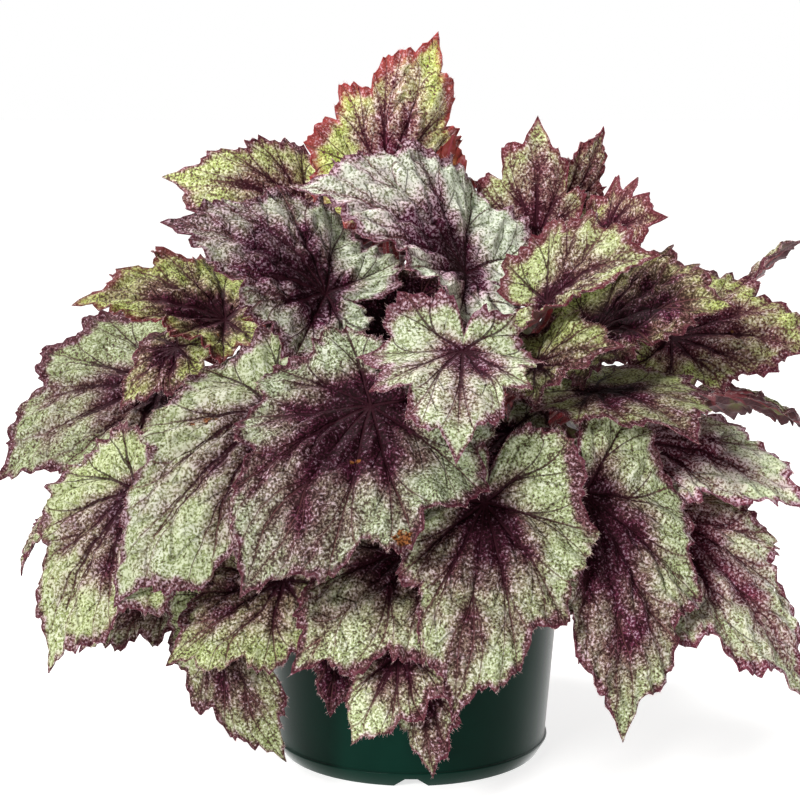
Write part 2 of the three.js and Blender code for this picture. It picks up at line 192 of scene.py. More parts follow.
# Each leaf has the point where its stalk ends, the point of its tip, the way that its upper
# face looks, and what differs from these defaults:
#   width, hand, arch, base, left, right, wave, lobe, bend   its form, as in the solids
#   wine     how far the dark star reaches from the stalk, as a share of the blade
#   silver   how much of the face is pale
#   lime     how yellow its green is
#   shade   its brightness: partly its own tone, and partly painted light, raised where a leaf is lit more and lowered where it lies in shade
#   rim      how red its margin is, and how orange and yellow its underside is: partly its own colour, partly painted glow of light shining through
#   blush    how pink or burgundy its specks are
PLAIN = {
    "width": 1, "hand": 1, "arch": 0.1, "base": 0.7, "left": -0.1, "right": -0.1,
    "wave": 0.03, "lobe": 0.16, "bend": (0.2, 0.35),
    "wine": 0.42, "silver": 0.52, "lime": 0.35, "shade": 1.1, "rim": 0, "blush": 0.35,
}
# Blades that lie close to a neighbour have lower puckers, so that they hardly cut into it.
CROWDED = (5, 10, 14, 16, 19, 26, 28, 29, 31, 43, 44, 46, 48, 51, 53, 54)
CROWDED_RELIEF = 0.3
leaves = []


def leaf(junction, tip, face, **form):
    row = {**PLAIN, **form}
    row["number"] = len(leaves) + 1
    row["name"] = f"leaf_{row['number']:02d}"
    row["phase"] = 2 * math.pi * vary(row["number"], 1)
    row["relief"] = CROWDED_RELIEF if row["number"] in CROWDED else 1
    row["junction"] = np.array(junction, float)
    row["tip"] = np.array(tip, float)
    row["face"] = np.array(face, float)
    leaves.append(row)


# Front of the mound.
leaf((30, -118, 143), (16, -150, 60), (0.1, -0.9, 0.35), width=0.86, left=0.15, wine=0.4)
leaf((73, -99, 143), (89, -127, 44), (0.4, -0.85, 0.35), width=0.78, base=-0.2, wine=0.5,
     shade=1.2, blush=0.4)
leaf((-17, -114, 183), (-69, -152, 113), (-0.1, -0.8, 0.6), width=1.05, base=-0.1,
     bend=(0.7, 0.1), wine=0.5, lime=0.15, silver=0.48, shade=1.0, blush=0.3)
leaf((-56, -88, 177), (-126, -113, 99), (-0.4, -0.8, 0.45), left=-0.55, base=0.1, width=0.9,
     wine=0.3, lime=0.4, silver=0.66, shade=0.9, blush=0.3)
leaf((21, -108, 205), (17, -160, 169), (0, -0.75, 0.65), width=1.1, hand=-1, lobe=0.25,
     base=1.6, wine=0.36, lime=0.3, silver=0.66, shade=1.14, blush=0.5)
leaf((-119, -73, 139), (-156, -94, 64), (-0.5, -0.75, 0.4), width=1.05, base=0.2,
     wine=0.26, lime=0.55, silver=0.62, shade=1.0, blush=0.4)
leaf((-114, -9, 174), (-190, -21, 133), (-0.35, -0.65, 0.6), width=1.15, hand=-1, left=0,
     base=0.4, wine=0.3, lime=0.4, silver=0.53, shade=0.8, blush=0.6)
leaf((-83, -33, 208), (-148, -45, 218), (-0.3, -0.6, 0.75), width=1.1, hand=-1, lobe=0.25,
     left=0.4, right=-0.2, wine=0.4, lime=0.9, silver=0.42, rim=0.2, blush=0.4)
leaf((-37, -60, 223), (-106, -66, 255), (-0.2, -0.5, 0.8), width=1.15, hand=-1, left=-0.2,
     wine=0.52, lime=0.1, silver=0.66, shade=1.0, blush=0.2)
leaf((-50, 14, 256), (-113, 4, 270), (-0.3, -0.8, 0.5), wine=0.3, lime=0.8, shade=1.45,
     blush=0.6)
leaf((24, -50, 231), (-49, -72, 272), (-0.1, -0.45, 0.85), hand=-1, right=0.4, base=0.3,
     wine=0.48, lime=0, silver=0.76, shade=1.42, blush=0.2)

# Crown of the mound.
leaf((-11, 5, 267), (12, 5, 334), (0.1, -0.95, 0.1), width=0.95, right=-0.9, lobe=0.18,
     wine=0.34, lime=1, silver=0.57, shade=1.75, rim=0.5, blush=0.9)
leaf((10, -14, 252), (19, -10, 289), (0, 0.95, 0.2), width=0.8, lime=1, shade=1.2, rim=0.6)
leaf((57, -5, 239), (58, 5, 296), (0, -0.9, 0.2), lobe=0.25, width=0.95, lime=0.6,
     silver=0.5, shade=1.5, rim=0.1, blush=0.7)
leaf((71, 35, 249), (92, 40, 290), (0.5, -0.8, 0.2), width=0.7, lime=0.7, silver=0.45,
     shade=1.5, rim=0.1, blush=0.7)
leaf((89, -8, 244), (113, -38, 254), (0.3, -0.8, 0.3), lobe=0.25, width=1.1,
     bend=(0.1, 0.6), wine=0.45, lime=0.8, silver=0.45, shade=1.35, rim=0.1, blush=0.7)

# Right side of the front.
leaf((58, -68, 220), (103, -91, 242), (-0.1, -0.6, 0.75), left=0.2, right=0.75, width=1.2,
     wine=0.36, lime=0.6, silver=0.5, shade=1.15, rim=0.1, blush=0.5)
leaf((82, -41, 204), (136, -76, 220), (0.1, -0.7, 0.7), width=1.15, right=0.1, wine=0.5,
     lime=0.9, silver=0.42, shade=1.15, blush=0.3)
leaf((79, -62, 180), (117, -118, 167), (0.2, -0.5, 0.85), width=1.1, base=0.2, wine=0.4,
     lime=0.7, silver=0.55, blush=0.5)
leaf((52, -92, 196), (86, -112, 208), (0.1, -0.7, 0.7), wine=0.3, lime=0.8)
leaf((120, -6, 196), (186, -18, 191), (0.3, -0.7, 0.7), width=1.15, wine=0.4, lime=0.9,
     silver=0.5, blush=0.8)
leaf((158, 58, 206), (195, 62, 235), (0.3, 0.2, 0.9), lime=0.6)
leaf((131, 17, 168), (193, 19, 147), (0.3, 0.2, 0.9), width=0.8, left=-0.6, lime=0.5)
leaf((100, -36, 154), (176, -56, 125), (0.4, -0.7, 0.6), left=-0.6, right=0.35, base=0.1,
     wine=0.33, lime=0.3, silver=0.72, shade=1.55, blush=0.9)
leaf((111, -54, 123), (171, -84, 49), (0.6, -0.7, 0.3), hand=-1, width=0.95, base=-0.3,
     wine=0.38, lime=0.35, silver=0.6, shade=1.4, blush=0.9)
leaf((42, -67, 163), (42, -91, 126), (0.1, -0.9, 0.3), base=0.2, width=0.9, wine=0.6,
     shade=0.8)

# Foot of the front, hanging over the pot.
leaf((1, -90, 117), (-50, -118, 70), (-0.2, -0.85, 0.4), wine=0.35, shade=1.3)
leaf((-5, -104, 75), (-25, -117, 39), (-0.1, -0.9, 0.3), wine=0.35, shade=1.35)
leaf((3, -101, 62), (9, -107, 21), (0, -0.95, 0.2), width=0.7, wine=0.5)
leaf((-31, -90, 80), (-35, -95, 44), (-0.1, -0.95, 0.2), width=0.75, wine=0.6, shade=0.8)
leaf((-82, -75, 86), (-56, -90, 22), (-0.5, -0.8, 0.3), hand=-1, left=-0.4, width=0.8,
     base=0.1, wine=0.4, lime=0.5, silver=0.5, shade=0.85)
leaf((-55, -85, 102), (-104, -102, 69), (-0.3, -0.85, 0.4), wine=0.35, lime=0.6,
     shade=1.2)
leaf((-108, -35, 93), (-149, -48, 59), (-0.4, -0.6, 0.5), wine=0.45)
leaf((-160, 0, 118), (-184, -5, 85), (-0.9, -0.2, 0.3), width=0.8)
leaf((-106, -22, 194), (-131, -31, 167), (-0.5, -0.6, 0.4), width=1.05, lime=0.9)
leaf((-10, -34, 202), (16, -24, 230), (0, -0.95, 0.2), width=1.15, wine=0.7, shade=0.7)

# The back and the sides are tiers of leaves round the mound. A tier has its count, the span
# of its azimuths, the radius and height of its junctions and of its tips, how far its blades
# face outward, how far every second one shifts, and the curl of its bases.
TIER_STRAY = 8
TIP_STRAY = 10
TIERS = [
    (6, (22, 152), (98, 115), (156, 51), 0.8, 14, 0),
    (5, (46, 150), (92, 178), (146, 112), 0.7, 14, 0.2),
    (3, (66, 138), (70, 227), (126, 181), 0.65, 12, 0.2),
    (2, (50, 100), (40, 246), (94, 252), 0.3, 9, 0.2),
]


def tier_point(place, azimuth, out, shift):
    radius, height = place
    angle = math.radians(azimuth)
    reach = radius + shift * out
    return (reach * math.cos(angle), reach * math.sin(angle), height + shift * (1 - out))


for t, (count, span, junctions, tips, out, shift, base) in enumerate(TIERS):
    for i in range(count):
        azimuth = lerp(*span, i / (count - 1)) + TIER_STRAY * (vary(t, i) - 0.5)
        outward = math.radians(azimuth)
        hand = 1 if i % 2 else -1
        leaf(
            tier_point(junctions, azimuth, out, hand * shift),
            tier_point(tips, azimuth + TIP_STRAY * (vary(t, i + 9) - 0.5), out, hand * shift),
            (out * math.cos(outward), out * math.sin(outward), 1 - out),
            hand=hand, width=0.82, base=base,
            wine=lerp(0.28, 0.52, vary(t + 3, i)), lime=lerp(0.2, 0.75, vary(t + 5, i)),
            silver=lerp(0.5, 0.7, vary(t + 7, i)), blush=lerp(0.2, 0.8, vary(t + 9, i)),
        )

leaf((94, 40, 142), (142, 62, 84), (0.7, 0.3, 0.5), width=0.9, lime=0.5)
leaf((72, 42, 216), (116, 62, 184), (0.5, 0.25, 0.65), width=0.9, wine=0.5)


# ---------------- mesh making

def new_mesh(name, points, faces, looks, materials):
    """A mesh from points in millimetres, and lists of equal-sided faces with their look."""
    mesh = bpy.data.meshes.new(name)
    mesh.vertices.add(len(points))
    mesh.vertices.foreach_set("co", (np.asarray(points) * MM).astype(np.float32).ravel())
    sides = np.concatenate([np.full(len(block), block.shape[1]) for block in faces])
    corners = np.concatenate([block.ravel() for block in faces])
    mesh.loops.add(len(corners))
    mesh.loops.foreach_set("vertex_index", corners.astype(np.int32))
    mesh.polygons.add(len(sides))
    starts = np.concatenate([[0], np.cumsum(sides)[:-1]])
    mesh.polygons.foreach_set("loop_start", starts.astype(np.int32))
    shown = np.concatenate([np.full(len(block), look) for block, look in zip(faces, looks)])
    for material in materials:
        mesh.materials.append(material)
    mesh.polygons.foreach_set("material_index", shown.astype(np.int32))
    mesh.polygons.foreach_set("use_smooth", np.ones(len(sides), bool))
    mesh.update(calc_edges=True)
    mesh.set_sharp_from_angle(angle=math.radians(SHARP_FROM))
    return mesh


def wrap(rings, sides):
    """The four-sided faces between closed rings of points, one ring after another."""
    ring, column = np.meshgrid(np.arange(rings - 1), np.arange(sides), indexing="ij")
    after = (column + 1) % sides
    return np.stack([
        ring * sides + column, (ring + 1) * sides + column,
        (ring + 1) * sides + after, ring * sides + after,
    ], -1).reshape(-1, 4)


def fan(hub, start, sides, flip=False):
    """The triangles between a middle point and the ring that begins at the point start."""
    turn = start + np.arange(sides)
    after = start + (np.arange(sides) + 1) % sides
    edge = (after, turn) if flip else (turn, after)
    return np.stack([np.full(sides, hub), *edge], -1)


def closed(grid, first, last, reverse=False):
    """A body closed round rings of points, with a middle point at each end.

    As (points, [quads, triangles]), and reverse turns all its faces to their other side.
    """
    rings, sides = grid.shape[:2]
    count = rings * sides
    points = np.concatenate([grid.reshape(-1, 3), [first, last]])
    quads = wrap(rings, sides)[:, [0, 3, 2, 1] if reverse else [0, 1, 2, 3]]
    ends = [fan(count, 0, sides, reverse), fan(count + 1, count - sides, sides, not reverse)]
    return points, [quads, np.concatenate(ends)]


def turned(section, sides):
    """Rings of points about the pot's axis, from a section of (radius, height)."""
    section = np.array(section)
    angle = np.arange(sides) * 2 * math.pi / sides
    radius, height = section[:, :1], np.repeat(section[:, 1:], sides, 1)
    return np.stack([radius * np.cos(angle), radius * np.sin(angle), height], -1)


def new_object(name, data):
    thing = bpy.data.objects.new(name, data)
    bpy.context.scene.collection.objects.link(thing)
    return thing


def place(name, mesh, node, slot):
    piece = new_object(name, mesh)
    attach(piece, BODY)
    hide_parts(node)
    return piece


def spikes(roots, ways, lengths, radius):
    """Fine hairs: a slim three-sided spike on each root, as (points, triangles)."""
    ways = unit(ways)
    side = unit(np.cross(ways, [0.31, 0.52, 0.79]))
    other = np.cross(ways, side)
    points = []
    for turn in range(3):
        angle = turn * 2 * math.pi / 3
        points.append(roots + radius * (side * math.cos(angle) + other * math.sin(angle)))
    points.append(roots + ways * lengths[:, None])
    points = np.stack(points, 1).reshape(-1, 3)
    first = np.arange(len(roots))[:, None, None] * 4
    shape = np.array([[0, 1, 3], [1, 2, 3], [2, 0, 3], [0, 2, 1]])
    return points, (first + shape).reshape(-1, 3)


# ---------------- materials

def rgb(code):
    """Linear colour of a #rrggbb screen colour."""
    parts = [int(code[i:i + 2], 16) / 255 for i in (1, 3, 5)]
    return (*[c / 12.92 if c < 0.04 else ((c + 0.055) / 1.055) ** 2.4 for c in parts], 1)


class Graph:
    """A node tree, with one call for each kind of node that it needs."""

    def __init__(self, owner):
        owner.use_nodes = True
        self.tree = owner.node_tree

    def join(self, socket, value):
        """Give a socket another node's output, a plain value or a #rrggbb colour."""
        if isinstance(value, bpy.types.NodeSocket):
            self.tree.links.new(value, socket)
        else:
            socket.default_value = rgb(value) if isinstance(value, str) else value

    def node(self, kind, inputs, **settings):
        """A new node, with its settings, and its inputs by name or number."""
        node = self.tree.nodes.new("ShaderNode" + kind)
        for name, value in settings.items():
            setattr(node, name, value)
        for key, value in inputs.items():
            self.join(node.inputs[key], value)
        return node

    def parts(self, vector):
        return self.node("SeparateXYZ", {0: vector}).outputs[:3]

    def math(self, operation, *values):
        return self.node("Math", dict(enumerate(values)), operation=operation).outputs[0]

    def plus(self, a, b):
        return self.math("ADD", a, b)

    def minus(self, a, b):
        return self.math("SUBTRACT", a, b)

    def times(self, a, b):
        return self.math("MULTIPLY", a, b)

    def most(self, a, b):
        return self.math("MAXIMUM", a, b)

    def scaled(self, value, factor, more):
        """The value times a factor, and more added to that."""
        return self.math("MULTIPLY_ADD", value, factor, more)

    def step(self, value, low, high, start=0.0, end=1.0):
        """A soft step, from start at low to end at high."""
        inputs = dict(enumerate((value, low, high, start, end)))
        return self.node("MapRange", inputs, interpolation_type="SMOOTHSTEP").outputs[0]


class Look(Graph):
    """A material's nodes, with patterns measured in millimetres on the piece."""

    def __init__(self, name, roughness=0.5, specular=0.5, sheen=0.0):
        self.material = bpy.data.materials.new(name)
        super().__init__(self.material)
        self.shader = self.tree.nodes["Principled BSDF"]
        self.shader.inputs["Roughness"].default_value = roughness
        self.shader.inputs["Specular IOR Level"].default_value = specular
        self.shader.inputs["Sheen Weight"].default_value = sheen
        self.place = self.node("TexCoord", {}).outputs["Object"]

    def attribute(self, name, output="Fac"):
        return self.node("Attribute", {}, attribute_name=name).outputs[output]

    def mix(self, share, a, b, kind="MIX"):
        node = self.node("Mix", {}, data_type="RGBA", blend_type=kind)
        sockets = {socket.identifier: socket for socket in [*node.inputs, *node.outputs]}
        for name, value in (("Factor_Float", share), ("A_Color", a), ("B_Color", b)):
            self.join(sockets[name], value)
        return sockets["Result_Color"]

    def noise(self, size, detail=2.0, rough=0.5, squash=None):
        """Noise with features about size millimetres across."""
        vector = self.place
        if squash:
            vector = self.node("Mapping", {"Vector": vector, "Scale": squash}).outputs[0]
        inputs = {"Vector": vector, "Scale": 1 / (size * MM), "Detail": detail, "Roughness": rough}
        return self.node("TexNoise", inputs).outputs["Fac"]

    def near(self, point, radius, rough):
        """1 within a radius of a point in millimetres, with an uneven outline, and 0 beyond."""
        ends = {0: self.place, 1: [part * MM for part in point]}
        away = self.node("VectorMath", ends, operation="DISTANCE").outputs["Value"]
        uneven = self.scaled(rough, 2.6 * radius * MM, away)
        return self.step(uneven, 1.9 * radius * MM, 2.2 * radius * MM, 1.0, 0.0)

    def cells(self, size, output="Distance"):
        inputs = {"Vector": self.place, "Scale": 1 / (size * MM)}
        return self.node("TexVoronoi", inputs).outputs[output]

    def bump(self, height, depth, strength=1.0):
        """Relief of a height from 0 to 1, depth millimetres deep."""
        inputs = {"Strength": strength, "Distance": depth * MM, "Height": height}
        self.join(self.shader.inputs["Normal"], self.node("Bump", inputs).outputs[0])

    def colour(self, value):
        self.join(self.shader.inputs["Base Color"], value)

    def roughness(self, value):
        self.join(self.shader.inputs["Roughness"], value)


class BladeLook(Look):
    """The look of a blade's face, with the values that the blade's mesh carries."""

    def __init__(self, name, **shine):
        super().__init__(name, **shine)
        self.vein = self.math("ABSOLUTE", self.attribute("vein"))
        self.fork = self.math("ABSOLUTE", self.attribute("fork"))
        self.edge = self.attribute("edge")
        self.reach = self.attribute("reach")
        self.core = self.attribute("core")
        self.wine, self.silver, self.lime = self.parts(self.attribute("habit", "Vector"))
        self.shade, self.rim, self.blush = self.parts(self.attribute("age_and_light", "Vector"))

    def side_vein(self):
        """1 on a side vein, and 0 from a little way off it."""
        swing = self.math("PINGPONG", self.attribute("twig"), 0.5)
        return self.step(swing, 0.0, 0.07, 1.0, 0.0)


def star_and_band(look):
    """How purple a point is, and how far into the halo of the purple it lies.

    A dark star follows the veins a little, and the margin has a band of the same colour.
    """
    close = look.math("EXPONENT", look.times(look.math("MINIMUM", look.vein, look.fork), -0.22))
    field = look.minus(look.scaled(close, 0.2, look.wine), look.core)
    field = look.plus(field, look.scaled(look.patch, 0.9, -0.56))
    field = look.plus(field, look.scaled(look.blister, 0.25, -0.125))
    band = look.minus(look.scaled(look.patch, 22.0, -7.6), look.edge)
    band = look.plus(band, look.scaled(look.blister, 6.0, -3.0))
    purple = look.most(look.step(field, -0.2, 0.3), look.step(band, -2.5, 2.0, 0.0, 0.8))
    halo = look.most(look.step(field, -0.36, 0.08), look.step(band, -5.0, 2.0))
    return purple, look.times(halo, look.scaled(look.blush, 0.5, 0.25))


def specks(look, purple, halo):
    """The colour of dark, leaf green and pale specks, the dark tone, and the share of pale.

    More of the specks are pale between the veins.
    """
    share = look.scaled(purple, -0.2, look.silver)
    share = look.plus(share, look.scaled(look.blister, 0.6, -0.3))
    share = look.plus(share, look.step(look.vein, 0.0, 4.0, -0.15, 0.0))
    raised = look.minus(look.grain, look.scaled(share, -0.34, 0.69))
    pale_share = look.step(raised, 0.0, 0.055)
    sunken = look.plus(raised, look.scaled(look.noise(0.5, 1.0), 0.1, -0.05))
    dark_share = look.step(sunken, -0.12, -0.075, 1.0, 0.0)

    mid = look.mix(look.lime, "#899374", "#8f994a")
    mid = look.mix(halo, mid, "#774a5b")
    mid = look.mix(purple, mid, look.mix(look.blush, "#511a38", "#6d3242"))
    dark = look.mix(look.lime, "#3a3d2e", "#4b4f24")
    dark = look.mix(halo, look.mix(look.blush, dark, "#55343a"), "#3a1521")
    dark = look.mix(purple, dark, look.mix(look.blush, "#180509", "#3c141f"))
    # Near-white patches, fewer on yellow blades: partly the blade's own silvering, partly a painted
    # sheen.
    silvering_and_painted_sheen = look.step(look.noise(11, 2.0), 0.48, 0.64, 0.0, 0.55)
    silvering_and_painted_sheen = look.times(silvering_and_painted_sheen, look.scaled(look.lime, -0.9, 1.0))
    pale_green = look.mix(silvering_and_painted_sheen, look.mix(look.lime, "#bfc4b3", "#b8c07e"), "#dcddd0")
    pale = look.mix(purple, look.mix(halo, pale_green, "#b09ba1"), "#b08d9e")
    colour = look.mix(pale_share, look.mix(dark_share, mid, dark), pale)
    veil = look.times(look.step(look.blister, 0.56, 0.68, 0.0, 0.3), look.minus(1.0, purple))
    return look.mix(veil, colour, pale_green), dark, pale_share


def heart_and_hem(look, colour):
    """The colour with the darkest heart round the stalk and the red of the margin."""
    heart = look.scaled(look.patch, 0.5, look.scaled(look.wine, 0.5, -0.25))
    heart = look.step(look.minus(heart, look.core), -0.17, 0.1)
    heart = look.times(heart, look.scaled(look.blush, -0.6, 0.92))
    colour = look.mix(heart, colour, "#120305")
    flush = look.times(look.step(look.edge, 0.5, 10.0, 0.8, 0.0), look.rim)
    colour = look.mix(flush, colour, look.mix(look.patch, "#7a1f1f", "#b0543c"))
    hem = look.step(look.scaled(look.blister, -4.5, look.edge), -2.1, -0.2, 0.7, 0.0)
    hem = look.times(hem, look.step(look.patch, 0.4, 0.55, 0.35, 1.0))
    return look.mix(hem, colour, look.mix(look.rim, "#53202f", "#8a2c1e"))


def vein_lines(look, colour, dark):
    """The colour with the veins, and where they run.

    A main vein is dark from the stalk, and paler near the tip of its lobe.
    """
    width = look.step(look.reach, 0.0, 0.9, 0.55, 0.1)
    line = look.step(look.minus(look.vein, width), -0.12, 0.3, 1.0, 0.0)
    thin = look.minus(look.fork, look.times(width, 0.6))
    line = look.most(line, look.step(thin, -0.08, 0.26, 0.9, 0.0))
    ink = look.mix(look.step(look.reach, 0.4, 0.9), "#2b0d16", "#7a4e4c")
    twigs = look.times(look.side_vein(), look.step(look.reach, 0.1, 0.3))
    twigs = look.times(twigs, look.step(look.edge, 3.0, 14.0))
    colour = look.mix(look.times(twigs, 0.4), colour, dark)
    fade = look.step(look.reach, 0.45, 1.0, 0.88, 0.45)
    return look.mix(look.times(line, fade), colour, ink), look.most(twigs, line)


def dry_spots(look, colour):
    """The colour with brown spots: the blemishes, and a small spot here and there."""
    crust = look.noise(2.6, 3.0, 0.6)
    dry = look.mix(look.step(look.grain, 0.42, 0.56), "#331709", "#86522b")
    for point, radius in BLEMISHES:
        colour = look.mix(look.near(point, radius, crust), colour, dry)
    chosen = look.step(look.parts(look.cells(21, "Color"))[0], 0.9, 0.91)
    spot = look.times(chosen, look.step(look.cells(21), 0.035, 0.06, 1.0, 0.0))
    return look.mix(spot, colour, "#7d5433")


def blade_top():
    look = BladeLook("begonia_blade_top", specular=0.07)
    look.patch = look.noise(20, 3.0)
    look.blister = look.noise(4.2, 2.0)
    look.grain = look.noise(1.1, 2.0, 0.6)
    purple, halo = star_and_band(look)
    colour, dark, pale_share = specks(look, purple, halo)
    colour, lines = vein_lines(look, heart_and_hem(look, colour), dark)
    # The leaf's brightness multiplies its colour: partly its own tone, partly painted light and shade.
    look.colour(look.mix(1.0, dry_spots(look, colour), look.shade, "MULTIPLY"))
    look.roughness(look.scaled(pale_share, -0.12, look.scaled(purple, 0.22, 0.46)))
    relief = look.scaled(pale_share, 0.35, look.times(look.blister, 2.4))
    look.bump(look.minus(relief, look.times(lines, 1.1)), 0.5, 1.0)
    return look.material


def blade_under():
    look = BladeLook("begonia_blade_under", specular=0.35, sheen=0.08)
    patch = look.noise(18, 3.0)
    grain = look.noise(1.3, 2.0)
    # Where rim is high, the red turns orange and the green patches turn yellow: partly the blade's own
    # colour, partly painted glow of light shining through it.
    green = look.mix(look.rim, look.mix(look.lime, "#56623a", "#848438"), "#c29a1e")
    red = look.mix(look.rim, "#3f0f1a", "#7d2412")
    inside = look.step(look.edge, 2.0, 9.0)
    leafy = look.times(look.step(patch, 0.41, 0.56), look.step(look.vein, 1.5, 9.0))
    colour = look.mix(look.times(look.times(leafy, inside), 0.85), red, green)
    colour = look.mix(look.step(grain, 0.45, 0.62, 0.0, 0.25), colour, "#743a40")
    width = look.step(look.reach, 0.0, 1.0, 1.3, 0.35)
    line = look.step(look.minus(look.vein, width), -0.2, 0.5, 1.0, 0.0)
    twigs = look.times(look.side_vein(), inside)
    colour = look.mix(look.times(twigs, 0.5), colour, "#601c26")
    colour = look.mix(line, colour, "#762830")
    # The leaf's brightness multiplies its colour: partly its own tone, partly painted light and shade.
    look.colour(look.mix(1.0, colour, look.shade, "MULTIPLY"))
    look.bump(look.scaled(grain, 0.5, twigs), 0.4, 0.8)
    return look.material


def stalk_look():
    """Dark red with paler streaks and specks, and brown low down on the rhizome."""
    look = Look("begonia_stalk", roughness=0.42, specular=0.45)
    streak = look.noise(2.2, 3.0, squash=(1, 1, 0.15))
    speck = look.noise(0.7, 1.0)
    colour = look.mix(look.step(streak, 0.35, 0.65), "#4a0d15", "#7d2229")
    colour = look.mix(look.step(speck, 0.62, 0.7, 0.0, 0.6), colour, "#b0766a")
    low = look.step(look.parts(look.place)[2], 0.098, 0.12, 1.0, 0.0)
    look.colour(look.mix(low, colour, look.mix(streak, "#3f3a20", "#7a6238")))
    look.bump(streak, 0.3, 0.8)
    return look.material


def hair_look():
    look = Look("begonia_hair", specular=0.4)
    look.colour(look.mix(look.noise(6, 1.0), "#c08d92", "#e0c6c0"))
    return look.material


def pot_look():
    """Dark green plastic with a soft sheen, faint scuffs and some dust at the foot."""
    look = Look("pot_plastic", specular=0.05, sheen=1.0)
    look.shader.inputs["Sheen Roughness"].default_value = 0.3
    cloud = look.noise(30, 4.0, 0.6)
    scuff = look.noise(2.5, 4.0, 0.7, squash=(1, 1, 6))
    dust = look.noise(0.6, 2.0)
    mark = look.times(look.step(scuff, 0.62, 0.78), look.step(cloud, 0.45, 0.65))
    colour = look.mix(cloud, "#021d16", "#042a20")
    colour = look.mix(look.times(mark, 0.25), colour, "#3a564e")
    low = look.step(look.parts(look.place)[2], 0.0, 0.01, 0.2, 0.0)
    look.colour(look.mix(low, colour, "#28463c"))
    look.roughness(look.scaled(scuff, 0.22, look.scaled(cloud, 0.1, 0.19)))
    look.bump(look.scaled(dust, 0.4, scuff), 0.06, 0.6)
    return look.material


def soil_look():
    look = Look("potting_mix", roughness=0.9, specular=0.2)
    crumb = look.noise(2.4, 5.0, 0.7)
    fibre = look.noise(1.2, 3.0, 0.6, squash=(1, 0.25, 1))
    colour = look.mix(look.step(crumb, 0.38, 0.62), "#140d09", "#3d2a1c")
    look.colour(look.mix(look.step(fibre, 0.6, 0.72, 0.0, 0.7), colour, "#6d4f33"))
    look.bump(look.plus(crumb, fibre), 1.2, 1.0)
    return look.material


def chip_look():
    look = Look("bark_chip", roughness=0.85, specular=0.2)
    grain = look.noise(1.6, 4.0, 0.6, squash=(1, 0.3, 1))
    look.colour(look.mix(look.step(grain, 0.35, 0.65), "#2f1c10", "#755033"))
    look.bump(grain, 0.7, 1.0)
    return look.material


def perlite_look():
    look = Look("perlite", roughness=0.8, specular=0.3)
    grain = look.noise(0.9, 3.0)
    look.colour(look.mix(grain, "#a9a498", "#e8e4da"))
    look.bump(grain, 0.5, 1.0)
    return look.material


# ---------------- leaf blades

def blade_axes(row):
    """Origin, the blade's own axes along, across and up, and its length."""
    along = row["tip"] - row["junction"]
    length = np.linalg.norm(along)
    along = along / length
    up = unit(row["face"] - along * (row["face"] @ along))
    return row["junction"], along, np.cross(up, along), up, length


def blade_grid(row, steps, length):
    """The blade over (ring, sector, step): its place, and what its colours follow."""
    part = np.linspace(0, 1, BLADE_RINGS + 1)[1:, None]
    ring = 0.6 * part + 0.4 * np.sin(part * math.pi / 2)
    fringe = tooth_line(row, steps, length)
    sectors = [blade_sector(row, i, ring, fringe[i], length) for i in range(SECTORS)]
    return [np.stack(values, 1) for values in zip(*sectors)]


def blade_sector(row, index, ring, fringe, length):
    """The stretch of the blade between two main veins, over (ring, step)."""
    share = np.linspace(0, 1, len(fringe))
    if index < SECTORS // 2:
        side, number, u = -1, SECTORS // 2 - 1 - index, 1 - share
    else:
        side, number, u = 1, index - SECTORS // 2, share
    half = BROAD_HALF if side == row["hand"] else NARROW_HALF
    start_angle, start = half[number]
    last = number == len(half) - 1
    end_angle, end = (SINUS_ANGLE, SINUS) if last else half[number + 1]
    dip = np.where(u < NOTCH_AT, u / NOTCH_AT, (1 - u) / (1 - NOTCH_AT))
    tooth = TOOTH_SHARE * 0.5 * np.clip(1 - np.abs(u - TOOTH_AT) / (1 - TOOTH_AT), 0, 1)
    calm = lerp(start, end, u ** LOBE_ROUNDNESS if last else u)
    depth = row["lobe"] * (TIP_SHARE if number == 0 else 1)
    margin = calm * (1 - depth * (dip - tooth)) + fringe
    span = lerp(calm * (1 - depth * 0.5), margin, ring ** 4)
    degrees = lerp(start_angle, end_angle, u)
    angle = side * np.radians(degrees)
    x = ring * span * np.cos(angle)
    y = ring * span * np.sin(angle) * row["width"]

    # How far a point lies from the nearer main vein, and ahead along that vein.
    near = degrees - start_angle - vein_bend(row, side, number, ring)
    if not last:
        near = np.minimum(near, end_angle + vein_bend(row, side, number + 1, ring) - degrees)
    radius = ring * span * length
    away = radius * np.sin(np.radians(near))
    ahead = radius * np.cos(np.radians(near))
    twig = (ahead - away) / (VEIN_SPACING * length) + 0.5 * u

    # A main vein forks at a share of its way, and the two arms spread from there.
    split = FORK_AT[0] + FORK_AT[1] * vary(index + 3, row["phase"])
    spread = FORK_SPREAD * np.clip(ring - split, 0, None) / (1 - split)
    fork = radius * np.radians(near - spread * abs(end_angle - start_angle))
    fork += 3 * smooth(split + 0.03 - ring, 0, 0.06)

    edge = (1 - ring) * margin * length
    reach = ring * np.sqrt(span)
    core = reach * (1.38 - 0.72 * np.cos(angle))
    height = blade_height(row, x, y, ring, u, angle) * length
    height += pucker(row, x * length, y * length, np.abs(away), twig, ring, u, length)
    return x * length, y * length, height, away, fork, twig, edge, reach, core


def vein_bend(row, side, vein, ring):
    """How far a main vein strays from its straight course, in degrees."""
    number = side * vein + SECTORS // 2
    size = 4.5 * (vary(number, row["phase"]) - 0.5)
    turn = 1.2 + vary(number + 20, row["phase"])
    return np.sin(math.pi * ring * turn) * size * smooth(ring, 0.05, 0.4) * 2


